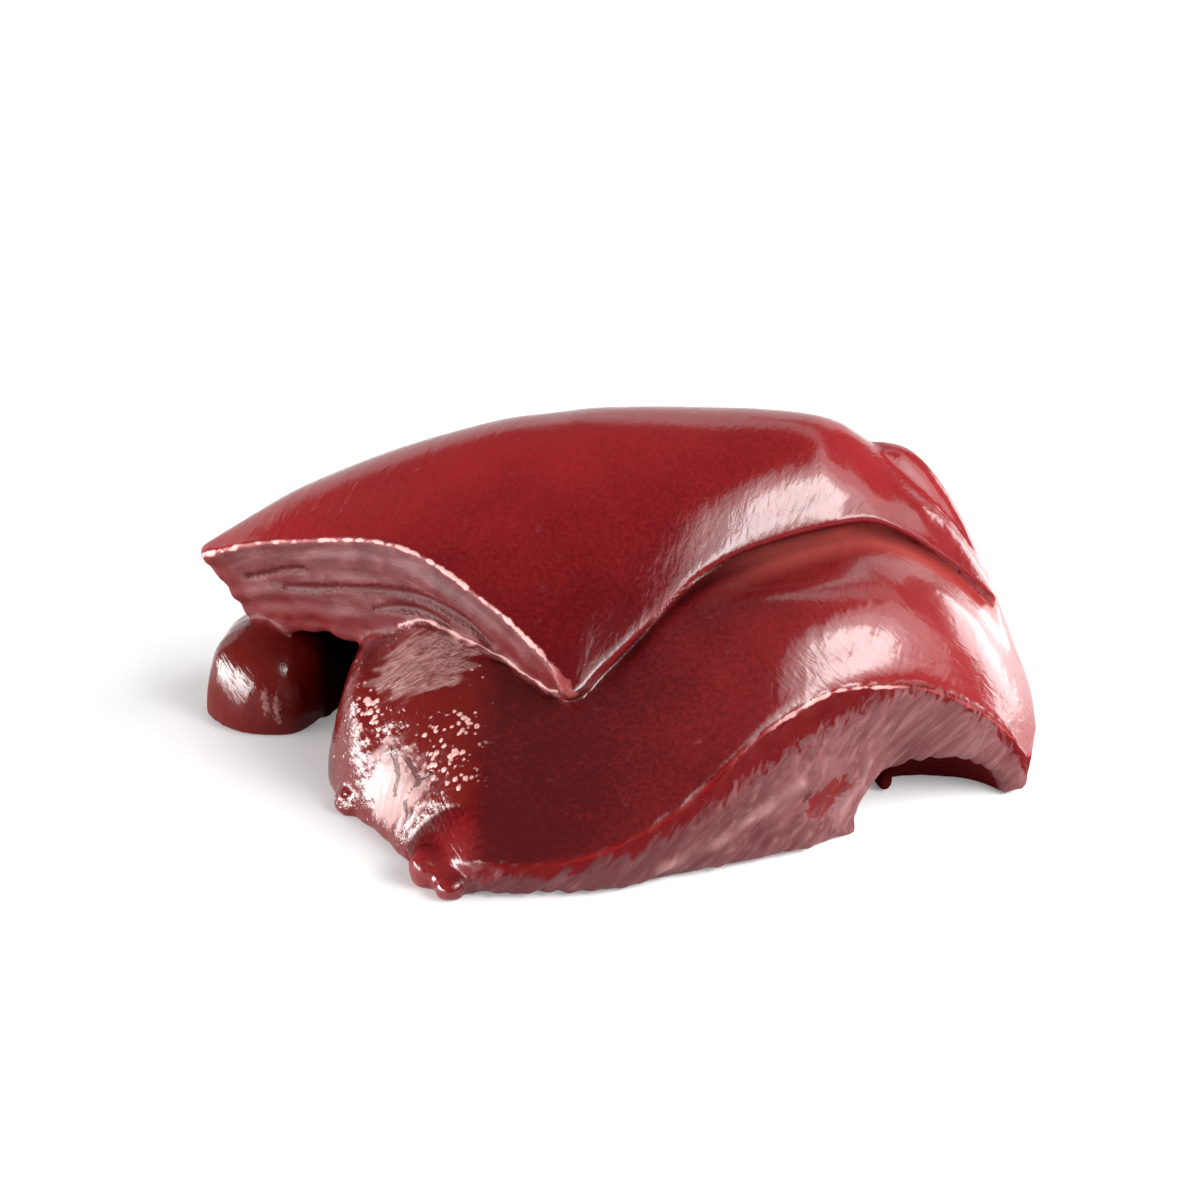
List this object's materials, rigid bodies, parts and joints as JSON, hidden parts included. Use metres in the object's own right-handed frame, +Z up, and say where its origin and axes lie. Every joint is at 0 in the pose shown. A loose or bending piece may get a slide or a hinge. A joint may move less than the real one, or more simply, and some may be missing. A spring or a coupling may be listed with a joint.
{
  "type": "raw beef liver",
  "caption": "Raw beef liver folded over itself: glossy dark red skin, knife-cut faces in front and at the left, a thin right margin and small lobes at the left.",
  "frame": {"origin": "middle of the footprint, on the table", "axes": "+X along the length, toward the thin right margin; +Y from the front cut to the folded back; +Z up"},
  "size_m": [0.311, 0.1998, 0.1211],
  "materials": {
    "liver": "wet and glossy skin, granular flesh on the knife cuts"
  },
  "bodies": {
    "root": {"liver": "liver"}
  },
  "joints": []
}
